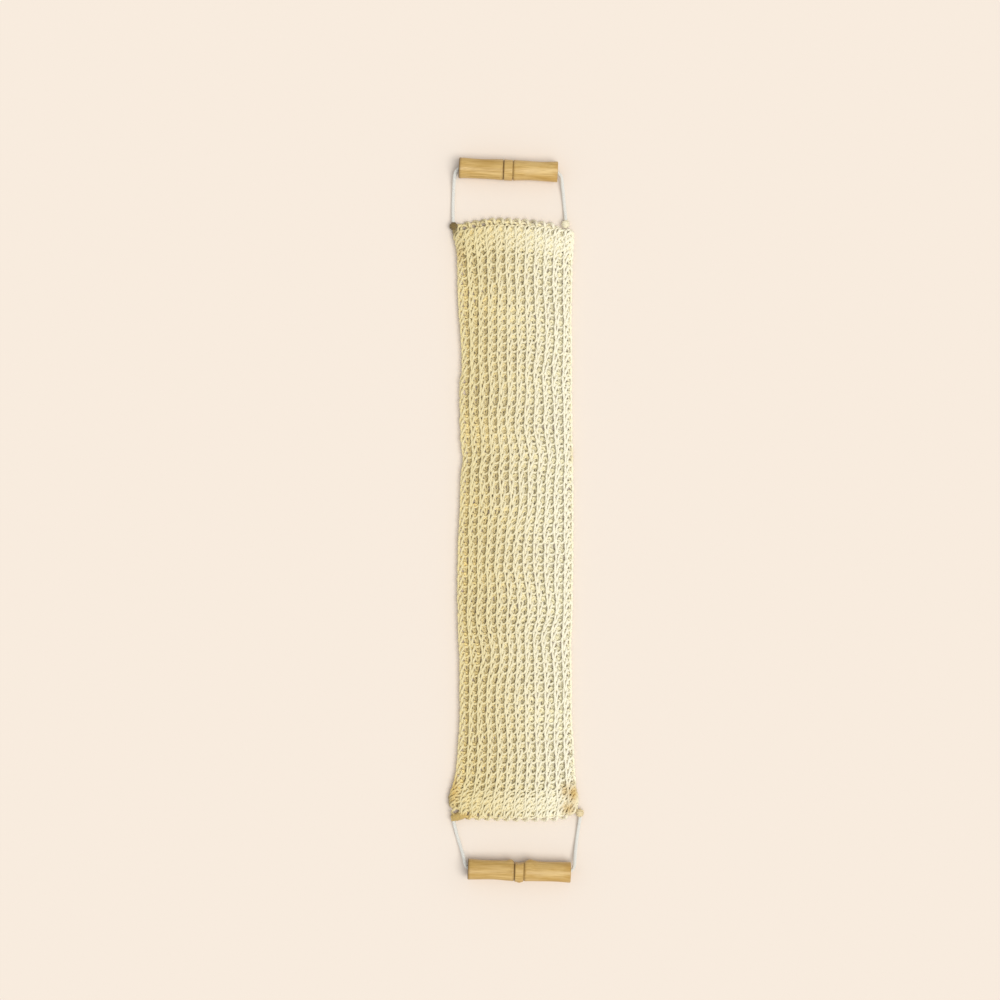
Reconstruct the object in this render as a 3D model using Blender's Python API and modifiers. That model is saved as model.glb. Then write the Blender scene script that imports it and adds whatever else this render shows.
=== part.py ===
"""A knitted back scrubber strap with a turned wooden handle on a cord loop at each end.

It lies flat on its back. Units are metres. +X is across the strap, +Y along it towards the
upper handle, and +Z away from the surface that it lies on. The origin is on that surface,
below the middle of the object.
"""

import math

import bmesh
import bpy
import numpy as np
from mathutils import Vector

GAP = 0.0003

# The strap: one knitted tube pulled flat, cut into sections that hinge on its upper face.
STRAP_THICKNESS = 0.008
STRAP_END_THICKNESS = 0.005
STRAP_TOP_END = 0.2292
STRAP_BOTTOM_END = -0.2292
INNER_HINGE_Y = 0.046
OUTER_HINGE_Y = 0.138
END_TAPER = 0.012
CORNER_INSET = 0.0049
STEP_RUN = 0.0001
RIM_ARC_POINTS = 7
STATION_SPACING = 0.012

# The strap's two long edges, as (y, x).
LEFT_EDGE = (
    (-0.2292, -0.0515),
    (-0.2190, -0.0530),
    (-0.1990, -0.0475),
    (-0.0700, -0.0464),
    (0.0470, -0.0425),
    (0.1200, -0.0432),
    (0.2100, -0.0466),
    (0.2292, -0.0500),
)
RIGHT_EDGE = (
    (-0.2292, 0.0485),
    (-0.2200, 0.0485),
    (-0.2000, 0.0460),
    (-0.1000, 0.0432),
    (0.0400, 0.0442),
    (0.1700, 0.0435),
    (0.2292, 0.0450),
)

# The handles: a turned profile that is the same each side of its middle.
HANDLE_RADIUS = 0.0080
HANDLE_WAIST = 0.0005
HANDLE_CHAMFER = 0.0009
GROOVE_OFFSET = 0.0037
GROOVE_WIDTH = 0.0010
GROOVE_DEPTH = 0.0007
BORE_RADIUS = 0.0024
MOUTH_RADIUS = 0.0048
MOUTH_DEPTH = 0.0055
TURNING_STEPS = 40

UPPER_HANDLE_CENTRE = (-0.0064, 0.2700)
UPPER_HANDLE_LENGTH = 0.0763
UPPER_HANDLE_TILT = math.radians(-2.35)
UPPER_BAND_RADIUS = 0.0080
LOWER_HANDLE_CENTRE = (0.0020, -0.2703)
LOWER_HANDLE_LENGTH = 0.0795
LOWER_HANDLE_TILT = math.radians(-1.7)
LOWER_BAND_RADIUS = 0.0084
NICK_RADIUS = 0.0090
NICK_DEPTH = 0.0024

# The cords, from the knot in the left corner, through the handle, to the right corner.
CORD_DIAMETER = 0.0028
CORD_STEP = 1.5 * CORD_DIAMETER
KNOT_RADIUS = 0.0034
KNOT_HEIGHT = 0.0040
UPPER_KNOTS = ((-0.0489, 0.2271), (0.0379, 0.2286))
LOWER_KNOTS = ((-0.0489, -0.2295), (0.0492, -0.2264))
UPPER_ROUTE = (
    (-0.0489, 0.2309, 0.0037),
    (-0.0491, 0.2366, 0.0025),
    (-0.0491, 0.2440, 0.0018),
    (-0.0488, 0.2520, 0.0022),
    (-0.0483, 0.2600, 0.0040),
    (-0.0477, 0.26585, 0.0060),
    (-0.04687, 0.26874, 0.0070),
    (-0.0446, 0.27078, 0.0077),
    (-0.0415, 0.27144, 0.0080),
    (-0.0320, 0.27105, 0.0080),
    (-0.0064, 0.2700, 0.0080),
    (0.0180, 0.2690, 0.0080),
    (0.02875, 0.26856, 0.0080),
    (0.03185, 0.26765, 0.0077),
    (0.03412, 0.26542, 0.0070),
    (0.03495, 0.26246, 0.0060),
    (0.0356, 0.2571, 0.0041),
    (0.0364, 0.2496, 0.0023),
    (0.0371, 0.2416, 0.0018),
    (0.0377, 0.2360, 0.0026),
    (0.0379, 0.2324, 0.0036),
)
LOWER_ROUTE = (
    (-0.0484, -0.2332, 0.0037),
    (-0.0471, -0.2394, 0.0024),
    (-0.0450, -0.2470, 0.0018),
    (-0.0428, -0.2540, 0.0029),
    (-0.0408, -0.2606, 0.0053),
    (-0.03988, -0.26463, 0.0068),
    (-0.03882, -0.26684, 0.0076),
    (-0.0367, -0.26856, 0.0082),
    (-0.0340, -0.26923, 0.0084),
    (-0.0260, -0.26947, 0.0084),
    (0.0020, -0.2703, 0.0084),
    (0.0300, -0.27113, 0.0084),
    (0.0382, -0.27137, 0.0084),
    (0.04113, -0.27077, 0.0082),
    (0.04348, -0.26887, 0.0075),
    (0.04455, -0.26612, 0.0065),
    (0.0451, -0.2605, 0.0046),
    (0.0459, -0.2520, 0.0025),
    (0.0470, -0.2435, 0.0018),
    (0.0482, -0.2360, 0.0026),
    (0.0490, -0.2302, 0.0037),
)

# The seams that close the tube's mouths.
SEAM_RADIUS = 0.0012
SEAM_HEIGHT = 0.0025
SEAM_WAVE = 0.0003
SEAM_POINTS = 26

YARN_COLOUR = (0.80, 0.72, 0.45, 1.0)
LASHING_COLOUR = (0.40, 0.27, 0.10, 1.0)
WOOD_COLOUR = (0.66, 0.44, 0.18, 1.0)
CORD_COLOUR = (0.82, 0.80, 0.74, 1.0)

PARTS = bpy.data.collections.new("back_scrubber_strap")
CUTTERS = bpy.data.collections.new("cutters")


def clear_scene():
    for obj in list(bpy.data.objects):
        bpy.data.objects.remove(obj, do_unlink=True)
    bpy.context.scene.collection.children.link(PARTS)
    bpy.context.scene.collection.children.link(CUTTERS)


def material(name, colour, roughness):
    made = bpy.data.materials.new(name)
    made.use_nodes = True
    shader = made.node_tree.nodes["Principled BSDF"]
    shader.inputs["Base Color"].default_value = colour
    shader.inputs["Roughness"].default_value = roughness
    shader.inputs["Metallic"].default_value = 0.0
    return made


def yarn_material(name):
    return material(name, YARN_COLOUR, 0.9)


def lashing_material(name):
    return material(name, LASHING_COLOUR, 0.9)


def wood_material(name):
    return material(name, WOOD_COLOUR, 0.45)


def cord_material(name):
    return material(name, CORD_COLOUR, 0.8)


def add_part(name, data, finish):
    obj = bpy.data.objects.new(name, data)
    PARTS.objects.link(obj)
    data.materials.append(finish(name))
    return obj


def edge_x(edge, y):
    ys, xs = zip(*edge)
    return float(np.interp(y, ys, xs))


def strap_sides(y):
    """The strap's left and right x at y, stepped in beside each corner knot."""
    left = edge_x(LEFT_EDGE, y)
    right = edge_x(RIGHT_EDGE, y)
    for knots, at_end in ((UPPER_KNOTS, y > 0), (LOWER_KNOTS, y < 0)):
        (left_x, left_y), (right_x, right_y) = knots
        clear = KNOT_RADIUS + 2 * GAP
        if at_end and abs(y) > abs(left_y) - CORNER_INSET:
            left = max(left, left_x + clear)
        if at_end and abs(y) > abs(right_y) - CORNER_INSET:
            right = min(right, right_x - clear)
    return left, right


def strap_thickness(y):
    """The full thickness, thinned over the last stretch before each closed mouth."""
    inside = STRAP_TOP_END - abs(y)
    share = min(1.0, inside / END_TAPER)
    return STRAP_END_THICKNESS + (STRAP_THICKNESS - STRAP_END_THICKNESS) * share


def strap_ring(y):
    """The strap's outline across, at y: flat above and below, half round at both edges."""
    left, right = strap_sides(y)
    radius = strap_thickness(y) / 2
    ring = []
    for centre_x, start in ((right - radius, -90), (left + radius, 90)):
        for i in range(RIM_ARC_POINTS):
            angle = math.radians(start + 180 * i / (RIM_ARC_POINTS - 1))
            x = centre_x + radius * math.cos(angle)
            z = radius + radius * math.sin(angle)
            ring.append(Vector((x, y, z)))
    return ring


def loft(rings):
    """A closed mesh through rings with equal numbers of points, in order along +Y."""
    bm = bmesh.new()
    rows = [[bm.verts.new(point) for point in ring] for ring in rings]
    for row, following in zip(rows, rows[1:]):
        for i in range(len(row)):
            j = (i + 1) % len(row)
            bm.faces.new((row[i], row[j], following[j], following[i]))
    bm.faces.new(rows[0])
    bm.faces.new(rows[-1])
    bmesh.ops.recalc_face_normals(bm, faces=bm.faces)
    mesh = bpy.data.meshes.new("strap_section")
    bm.to_mesh(mesh)
    bm.free()
    return mesh


def stations(start, end):
    """The y of each ring of a section, closer together where its corners step in."""
    count = max(2, round((end - start) / STATION_SPACING))
    ys = set(np.linspace(start, end, count + 1))
    for _, knot_y in UPPER_KNOTS + LOWER_KNOTS:
        step_y = math.copysign(abs(knot_y) - CORNER_INSET, knot_y)
        for y in (step_y - STEP_RUN, step_y + STEP_RUN):
            if start < y < end:
                ys.add(y)
    return sorted(ys)


def strap_section(name, start, end):
    mesh = loft([strap_ring(y) for y in stations(start, end)])
    mesh.shade_smooth()
    mesh.set_sharp_from_angle(angle=math.radians(35))
    return add_part(name, mesh, yarn_material)


def outer_profile(length, band_radius):
    """The turned outside as (radius, z), from the top end to the bottom."""
    half = length / 2
    groove_edge = GROOVE_OFFSET + GROOVE_WIDTH / 2
    side = [(HANDLE_RADIUS - HANDLE_CHAMFER, half), (HANDLE_RADIUS, half - HANDLE_CHAMFER)]
    run = half - HANDLE_CHAMFER - groove_edge
    for i in range(1, 9):
        share = i / 8
        radius = HANDLE_RADIUS - HANDLE_WAIST * math.sin(math.pi * share)
        side.append((radius, half - HANDLE_CHAMFER - run * share))
    side.append((HANDLE_RADIUS - GROOVE_DEPTH, GROOVE_OFFSET))
    side.append((band_radius, GROOVE_OFFSET - GROOVE_WIDTH / 2))
    return side + [(radius, -z) for radius, z in reversed(side)]


def bore_profile(length):
    """The bore with its flared mouths as (radius, z), from the bottom end to the top."""
    half = length / 2
    side = [(MOUTH_RADIUS, -half)]
    for i in range(1, 4):
        share = i / 3
        radius = BORE_RADIUS + (MOUTH_RADIUS - BORE_RADIUS) * (1 - share) ** 2
        side.append((radius, -half + MOUTH_DEPTH * share))
    return side + [(radius, -z) for radius, z in reversed(side)]


def turned(profile, name):
    """A mesh object turned from a closed profile about its own Z axis."""
    mesh = bpy.data.meshes.new(name)
    points = [(radius, 0.0, z) for radius, z in profile]
    edges = [(i, (i + 1) % len(points)) for i in range(len(points))]
    mesh.from_pydata(points, edges, [])
    obj = add_part(name, mesh, wood_material)
    screw = obj.modifiers.new("turning", "SCREW")
    screw.axis = "Z"
    screw.angle = math.tau
    screw.screw_offset = 0.0
    screw.steps = TURNING_STEPS
    screw.render_steps = TURNING_STEPS
    screw.use_merge_vertices = True
    screw.merge_threshold = 0.00001
    screw.use_smooth_shade = True
    return obj


def handle(name, centre, length, tilt, band_radius):
    """A handle lying on the surface, its axis turned by tilt from +X."""
    obj = turned(outer_profile(length, band_radius) + bore_profile(length), name)
    obj.location = (centre[0], centre[1], band_radius)
    obj.rotation_euler = (0.0, math.radians(90), tilt)
    return obj


def cut_nick(target, centre, tilt):
    """A shallow hollow across the handle's middle, on the side that faces the strap."""
    bpy.ops.mesh.primitive_cylinder_add(vertices=48, radius=NICK_RADIUS, depth=0.04)
    cutter = bpy.context.object
    cutter.name = "nick_cutter"
    cutter.hide_render = True
    cutter.display_type = "WIRE"
    reach = HANDLE_RADIUS - NICK_DEPTH + NICK_RADIUS
    along = Vector((-math.sin(tilt), math.cos(tilt)))
    cutter.location = (centre[0] + along.x * reach, centre[1] + along.y * reach, HANDLE_RADIUS)
    for collection in list(cutter.users_collection):
        collection.objects.unlink(cutter)
    CUTTERS.objects.link(cutter)
    cut = target.modifiers.new("nick", "BOOLEAN")
    cut.operation = "DIFFERENCE"
    cut.solver = "EXACT"
    cut.object = cutter


def smooth_route(points, step):
    """Even points, step apart, on a centripetal Catmull-Rom curve through the given ones."""
    given = [Vector(point) for point in points]
    first = 2 * given[0] - given[1]
    last = 2 * given[-1] - given[-2]
    padded = [first] + given + [last]
    fine = [given[0]]
    for p0, p1, p2, p3 in zip(padded, padded[1:], padded[2:], padded[3:]):
        t1 = (p1 - p0).length ** 0.5
        t2 = t1 + (p2 - p1).length ** 0.5
        t3 = t2 + (p3 - p2).length ** 0.5
        for i in range(1, 21):
            t = t1 + (t2 - t1) * i / 20
            a1 = p0.lerp(p1, t / t1)
            a2 = p1.lerp(p2, (t - t1) / (t2 - t1))
            a3 = p2.lerp(p3, (t - t2) / (t3 - t2))
            b1 = a1.lerp(a2, t / t2)
            b2 = a2.lerp(a3, (t - t1) / (t3 - t1))
            fine.append(b1.lerp(b2, (t - t1) / (t2 - t1)))
    coordinates = np.array([tuple(point) for point in fine])
    steps = np.linalg.norm(np.diff(coordinates, axis=0), axis=1)
    walked = np.concatenate([[0.0], np.cumsum(steps)])
    wanted = np.linspace(0.0, walked[-1], max(2, round(walked[-1] / step)) + 1)
    return np.stack([np.interp(wanted, walked, coordinates[:, k]) for k in range(3)], axis=1)


def tube(name, points, radius, finish):
    """A round tube with closed ends along the points."""
    curve = bpy.data.curves.new(name, "CURVE")
    curve.dimensions = "3D"
    curve.bevel_depth = radius
    curve.bevel_resolution = 2
    curve.use_fill_caps = True
    spline = curve.splines.new("POLY")
    spline.points.add(len(points) - 1)
    for point, place in zip(spline.points, points):
        point.co = (*place, 1.0)
    return add_part(name, curve, finish)


def cord(name, route):
    return tube(name, smooth_route(route, CORD_STEP), CORD_DIAMETER / 2, cord_material)


def knot(name, place):
    """The lump of knotted cord and lashing in a strap corner, round about the loop's axis."""
    bpy.ops.mesh.primitive_uv_sphere_add(segments=20, ring_count=12, radius=KNOT_RADIUS)
    obj = bpy.context.object
    obj.name = name
    obj.location = (place[0], place[1], KNOT_HEIGHT)
    obj.data.shade_smooth()
    obj.data.materials.append(lashing_material(name))
    for collection in list(obj.users_collection):
        collection.objects.unlink(obj)
    PARTS.objects.link(obj)
    return obj


def closing_seam(name, end_y, knots):
    """The yarn that closes the tube's mouth, along the strap's end between its knots."""
    left_x = knots[0][0] + KNOT_RADIUS + SEAM_RADIUS + 3 * GAP
    right_x = knots[1][0] - KNOT_RADIUS - SEAM_RADIUS - 3 * GAP
    side = math.copysign(1.0, end_y)
    offset = SEAM_RADIUS + SEAM_WAVE + GAP
    points = []
    for i in range(SEAM_POINTS):
        x = left_x + (right_x - left_x) * i / (SEAM_POINTS - 1)
        wave = SEAM_WAVE * math.cos(math.pi * i)
        points.append((x, end_y + side * (offset + wave), SEAM_HEIGHT))
    return tube(name, points, SEAM_RADIUS, yarn_material)


def build_strap():
    strap_section("strap_middle", -INNER_HINGE_Y + GAP, INNER_HINGE_Y - GAP)
    strap_section("strap_upper", INNER_HINGE_Y + GAP, OUTER_HINGE_Y - GAP)
    strap_section("strap_upper_end", OUTER_HINGE_Y + GAP, STRAP_TOP_END)
    strap_section("strap_lower", -OUTER_HINGE_Y + GAP, -INNER_HINGE_Y - GAP)
    strap_section("strap_lower_end", STRAP_BOTTOM_END, -OUTER_HINGE_Y - GAP)


def build_corners():
    knot("upper_left_lashing", UPPER_KNOTS[0])
    knot("upper_right_lashing", UPPER_KNOTS[1])
    knot("lower_left_lashing", LOWER_KNOTS[0])
    knot("lower_right_lashing", LOWER_KNOTS[1])
    closing_seam("upper_closing_seam", STRAP_TOP_END, UPPER_KNOTS)
    closing_seam("lower_closing_seam", STRAP_BOTTOM_END, LOWER_KNOTS)


def build_handles():
    handle(
        "upper_handle",
        UPPER_HANDLE_CENTRE,
        UPPER_HANDLE_LENGTH,
        UPPER_HANDLE_TILT,
        UPPER_BAND_RADIUS,
    )
    lower = handle(
        "lower_handle",
        LOWER_HANDLE_CENTRE,
        LOWER_HANDLE_LENGTH,
        LOWER_HANDLE_TILT,
        LOWER_BAND_RADIUS,
    )
    cut_nick(lower, LOWER_HANDLE_CENTRE, LOWER_HANDLE_TILT)
    cord("upper_cord", UPPER_ROUTE)
    cord("lower_cord", LOWER_ROUTE)


clear_scene()
build_strap()
build_corners()
build_handles()
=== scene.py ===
import math

import bpy
import numpy as np
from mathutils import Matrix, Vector


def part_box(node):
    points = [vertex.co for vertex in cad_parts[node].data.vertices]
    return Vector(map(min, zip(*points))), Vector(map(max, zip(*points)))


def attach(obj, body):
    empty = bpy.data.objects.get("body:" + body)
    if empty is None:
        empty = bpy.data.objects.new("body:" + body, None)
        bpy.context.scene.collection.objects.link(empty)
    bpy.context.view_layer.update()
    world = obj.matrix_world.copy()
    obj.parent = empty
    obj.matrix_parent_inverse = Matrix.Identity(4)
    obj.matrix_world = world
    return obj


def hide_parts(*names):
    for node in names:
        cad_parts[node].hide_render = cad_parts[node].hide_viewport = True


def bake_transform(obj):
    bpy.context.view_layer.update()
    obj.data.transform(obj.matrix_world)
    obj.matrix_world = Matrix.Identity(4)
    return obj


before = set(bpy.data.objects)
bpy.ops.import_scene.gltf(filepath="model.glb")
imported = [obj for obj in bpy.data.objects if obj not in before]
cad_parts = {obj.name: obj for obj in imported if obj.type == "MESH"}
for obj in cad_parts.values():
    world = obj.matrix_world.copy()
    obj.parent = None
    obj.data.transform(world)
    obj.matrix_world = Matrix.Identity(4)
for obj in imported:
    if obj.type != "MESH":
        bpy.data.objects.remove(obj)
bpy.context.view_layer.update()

rng = np.random.default_rng(22)

# ---------------------------------------------------------------- driving sizes and places

MM = 0.001
HANDLE_TILT = {"upper_handle": math.radians(-2.35), "lower_handle": math.radians(-1.7)}
HANDLE_LENGTH = {"upper_handle": 76.3 * MM, "lower_handle": 79.5 * MM}

# The silhouette of the strap's long edges, as (y, x) in metres.
LEFT_EDGE = (
    (-0.231, -0.0515),
    (-0.227, -0.0530),
    (-0.219, -0.0537),
    (-0.198, -0.0478),
    (-0.158, -0.0449),
    (-0.107, -0.0452),
    (-0.071, -0.0466),
    (-0.030, -0.0466),
    (0.000, -0.0452),
    (0.038, -0.0440),
    (0.047, -0.0420),
    (0.063, -0.0446),
    (0.103, -0.0449),
    (0.120, -0.0430),
    (0.140, -0.0439),
    (0.170, -0.0461),
    (0.211, -0.0469),
    (0.227, -0.0506),
)
RIGHT_EDGE = (
    (-0.228, 0.0480),
    (-0.220, 0.0490),
    (-0.200, 0.0462),
    (-0.158, 0.0439),
    (-0.107, 0.0432),
    (-0.031, 0.0447),
    (0.030, 0.0448),
    (0.092, 0.0438),
    (0.170, 0.0437),
    (0.205, 0.0440),
    (0.223, 0.0455),
)
# The strap's two short ends, as (x, y).
TOP_END = (
    (-0.051, 0.2268),
    (-0.037, 0.2295),
    (-0.017, 0.2325),
    (0.010, 0.2312),
    (0.046, 0.2255),
)
BOTTOM_END = (
    (-0.051, -0.2265),
    (-0.040, -0.2300),
    (0.000, -0.2315),
    (0.030, -0.2315),
    (0.050, -0.2270),
)
EDGE_ROUNDING = 3 * MM
END_ROUNDING = 4 * MM

# ---------------------------------------------------------------- the knit

# One yarn runs round the flattened tube in a helix. A wale is a column of loops up the
# strap and a course is one round of them, so a loop is one wale wide and one course high.
WALES = 24
COURSES = 62
SAMPLES = 26  # points along one loop
SIDES = 8  # of the yarn's cross-section

# The yarn: two plies twisted together, uneven in thickness.
YARN_RADIUS = 0.90 * MM
PLY_PITCH = 8.5 * MM
PLY_RELIEF = 0.15  # how far the plies stand out, as a share of the radius
SLUB = 0.07
SLUB_SPACING = 4 * MM
UNDER_SWELL = 0.17  # the lower layer's yarn is this much thicker, to fill the holes

# The loop, in wales across and courses along.
LOOP_REACH = 0.70
LOOP_SWAY = 0.165
LOOP_PINCH = 0.135
LOOP_LEAN = 0.11
END_LEAN = 0.21  # loops lean more near the strap's ends
END_LEAN_COURSES = 3.0
FIRST_WALE = 0.25
LOOP_JITTER = (0.045, 0.050, 0.12)  # unevenness across, along and in depth

# The loop's depth: its legs stand in front of the loops that they pass through.
LOOP_DEPTH = 0.85 * MM
LOOP_SNAP = 2.5  # how quickly the yarn changes from front to back
LEG_LIFT = 0.18 * MM
LAYER_HALF_GAP = 1.75 * MM
LAYER_LOW = 2.00 * MM

# Courses lie closer at both ends.
DENSE_COURSES = 4.0
DENSE_FADE = 2.0
DENSE_SPACING = 0.66

# Loose fibre ends.
HAIRS_PER_LOOP = 2.0
HAIR_RADIUS = 0.06 * MM
HAIR_SHORTEST = 1.5 * MM
HAIR_LONGEST = 5.0 * MM
HAIR_STEPS = 4
HAIR_CURL = 0.28
HAIR_TAPER = 0.75

# The fabric turned in at each end, inside the tube.
HEM_COURSES = 3
HEM_FIRST = 0.2
HEM_INSET = 0.9 * MM
HEM_DEPTH = 0.35 * MM
HEM_SWAY = 0.16
HEM_LEAN = 0.20
HEM_REACH = 0.85
HEM_JITTER = (0.06, 0.06)

# The knit is cut into bands halfway between one fold and the next.
BAND_EDGE = 0.108
BANDS = (
    ("knit_lower_end", -1.0, -BAND_EDGE),
    ("knit_lower", -BAND_EDGE, 0.0),
    ("knit_upper", 0.0, BAND_EDGE),
    ("knit_upper_end", BAND_EDGE, 1.0),
)
FLAT_SHARE = 0.95  # the tube's middle line is about this share of its outline's width


def smoothed(points, sigma):
    """A function through the points with its corners rounded over about sigma."""
    at, value = (np.array(column) for column in zip(*points))
    grid = np.arange(at[0] - 8 * sigma, at[-1] + 8 * sigma, sigma / 5)
    line = np.interp(grid, at, value)
    kernel = np.exp(-0.5 * (np.arange(-15, 16) / 5) ** 2)
    padded = np.pad(line, 15, mode="edge")
    soft = np.convolve(padded, kernel / kernel.sum(), mode="valid")
    return lambda wanted: np.interp(wanted, grid, soft)


left_edge = smoothed(LEFT_EDGE, EDGE_ROUNDING)
right_edge = smoothed(RIGHT_EDGE, EDGE_ROUNDING)
top_end = smoothed(TOP_END, END_ROUNDING)
bottom_end = smoothed(BOTTOM_END, END_ROUNDING)


def height_at(share, x=0.0):
    """The y of a place this share of the way from the strap's bottom end to its top."""
    return bottom_end(x) + share * (top_end(x) - bottom_end(x))


def eased_step(value):
    """0 below 0, 1 above 1, and a smooth rise between."""
    value = np.clip(value, 0.0, 1.0)
    return value * value * (3 - 2 * value)


def course_share(v):
    """How far along the strap a course lies, from 0 to 1: the end courses lie closer."""
    grid = np.linspace(-LOOP_REACH, COURSES + LOOP_REACH, 1200)
    from_end = np.minimum(grid + LOOP_REACH, COURSES + LOOP_REACH - grid)
    eased = eased_step((from_end - DENSE_COURSES) / DENSE_FADE)
    spacing = DENSE_SPACING + (1 - DENSE_SPACING) * eased
    walked = np.concatenate([[0.0], np.cumsum((spacing[1:] + spacing[:-1]) / 2)])
    return np.interp(v, grid, walked / walked[-1])


def waves(count, amplitude, shortest, longest):
    """Smooth random unevenness over the strap, as a function of x and y in metres."""
    lengths = rng.uniform(shortest, longest, (count, 2))
    headings = rng.choice((-1.0, 1.0), (count, 2))
    phases = rng.uniform(0, math.tau, count)
    share = amplitude / math.sqrt(count)

    def field(x, y):
        total = np.zeros(np.broadcast(x, y).shape)
        for length, heading, phase in zip(lengths, headings, phases):
            turned_x = heading[0] * x / (2 * length[0])
            turned_y = heading[1] * y / length[1]
            total += share * np.sin(math.tau * (turned_x + turned_y) + phase)
        return total

    return field


# The strap's unevenness: wales wander across it, courses along it, and it puffs up a little.
CALM_WIDTH = 14 * MM  # the wales run straight nearer to the edges than this
slant = waves(7, 1.3 * MM, 0.035, 0.14)
stretch = waves(7, 1.2 * MM, 0.035, 0.12)
puff = waves(6, 0.30 * MM, 0.03, 0.12)


def clear_of_ends(share, slope):
    """0 at both ends of the strap and 1 away from them, rising at this slope."""
    return np.clip(slope * share, 0.0, 1.0) * np.clip(slope - slope * share, 0.0, 1.0)


def tube_point(u, v, out):
    """A place on the flattened tube, and the direction that faces out of it there.

    u counts wales round the tube, v counts courses up it, and out is metres from the
    surface that the middle of the yarn follows.
    """
    share = course_share(v)
    rough_y = height_at(share)
    half = LAYER_HALF_GAP
    left = left_edge(rough_y) + LAYER_LOW
    right = right_edge(rough_y) - LAYER_LOW
    flat = right - left - 2 * half
    bow = math.pi * half
    # The way round: half of the left bow, the front, the right bow, the back, the rest.
    s = np.mod((u + FIRST_WALE) / WALES, 1.0) * (2 * flat + 2 * bow)
    front = bow / 2
    right_bow = front + flat
    back = right_bow + bow
    left_bow = back + flat
    legs = [s < front, s < right_bow, s < back, s < left_bow]
    quarter_turn = math.pi / 2
    turn = np.select(
        legs,
        [math.pi - s / half, quarter_turn, quarter_turn - (s - right_bow) / half, -quarter_turn],
        -quarter_turn - (s - left_bow) / half,
    )
    centre_x = np.select(
        legs,
        [left + half, left + half + (s - front), right - half, right - half - (s - back)],
        left + half,
    )
    x = centre_x + (half + out) * np.cos(turn)
    y = height_at(share, x)
    z = LAYER_LOW + half + (half + out) * np.sin(turn)
    from_edge = np.clip(np.minimum(x - left, right - x) / CALM_WIDTH, 0.0, 1.0)
    drift_x = slant(x, y) * from_edge * clear_of_ends(share, 4.0)
    y = y + stretch(x, y) * clear_of_ends(share, 6.0)
    x = x + drift_x
    z = z + puff(x, y) * np.sin(turn)
    normal = np.stack([np.cos(turn), np.zeros_like(turn), np.sin(turn)], axis=-1)
    return np.stack([x, y, z], axis=-1), normal


def unevenness(loop, count, amounts):
    """How far each loop differs from the others: one row for each amount."""
    own = rng.normal(0.0, 1.0, (count + 2, len(amounts)))
    at = np.arange(count + 2) - 0.5
    return [amount * np.interp(loop, at, own[:, i]) for i, amount in enumerate(amounts)]


def yarn_path():
    """The one yarn that the strap is knitted from, wound up the tube loop by loop."""
    count = WALES * COURSES
    t = np.linspace(0.0, math.tau * count, count * SAMPLES + 1)
    loop = t / math.tau
    from_end = np.minimum(loop / WALES, COURSES - loop / WALES)
    at_end = np.clip(1.6 - from_end / END_LEAN_COURSES, 0.0, 1.0)
    lean = LOOP_LEAN + (END_LEAN - LOOP_LEAN) * at_end
    u = loop + LOOP_SWAY * np.sin(2 * t) - LOOP_PINCH * np.sin(t) + lean * np.cos(t)
    v = loop / WALES + LOOP_REACH * np.cos(t)
    uneven_u, uneven_v, uneven_depth = unevenness(loop, count, LOOP_JITTER)
    u = u + uneven_u
    v = v + uneven_v
    depth = LOOP_DEPTH * (1 + uneven_depth)
    front = -np.tanh(LOOP_SNAP * np.cos(2 * t)) / math.tanh(LOOP_SNAP)
    out = depth * front + LEG_LIFT * np.sin(t)
    v = np.clip(v, -LOOP_REACH, COURSES + LOOP_REACH)
    points, normals = tube_point(u, v, out)
    points[:, 2] = np.maximum(points[:, 2], YARN_RADIUS * (1 + PLY_RELIEF + UNDER_SWELL))
    return loop, points, normals


def unit(vectors):
    """The vectors, one to a row, made one metre long."""
    return vectors / np.linalg.norm(vectors, axis=1, keepdims=True)


def distances(points):
    """How far along the line through the points each of them is."""
    return np.concatenate([[0.0], np.cumsum(np.linalg.norm(np.diff(points, axis=0), axis=1))])


def linked(name, mesh):
    obj = bpy.data.objects.new(name, mesh)
    bpy.context.scene.collection.objects.link(obj)
    return obj


def store(obj, name, values):
    attribute = obj.data.attributes.new(name, "FLOAT", "POINT")
    attribute.data.foreach_set("value", values.astype(np.float32))


def store_places(mesh, name, places):
    attribute = mesh.attributes.new(name, "FLOAT_VECTOR", "POINT")
    attribute.data.foreach_set("vector", places.astype(np.float32).ravel())


def closed_tube(name, co, rings, sides):
    """A mesh of quads between rings of points, with a flat face over each end."""
    i = np.arange(rings - 1)[:, None] * sides
    j = np.arange(sides)[None, :]
    k = (j + 1) % sides
    quads = np.stack([i + sides + j, i + sides + k, i + k, i + j], axis=-1)
    first_cap = np.arange(sides)
    last_cap = (rings - 1) * sides + first_cap[::-1]
    corners = np.concatenate([quads.ravel(), first_cap, last_cap])
    counts = np.concatenate([np.full((rings - 1) * sides, 4), [sides, sides]])
    starts = np.concatenate([[0], np.cumsum(counts)[:-1]])
    mesh = bpy.data.meshes.new(name)
    mesh.vertices.add(len(co))
    mesh.vertices.foreach_set("co", co.astype(np.float32).ravel())
    mesh.loops.add(len(corners))
    mesh.loops.foreach_set("vertex_index", corners.astype(np.int32))
    mesh.polygons.add(len(counts))
    mesh.polygons.foreach_set("loop_start", starts.astype(np.int32))
    mesh.update(calc_edges=True)
    mesh.shade_smooth()
    return mesh


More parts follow.
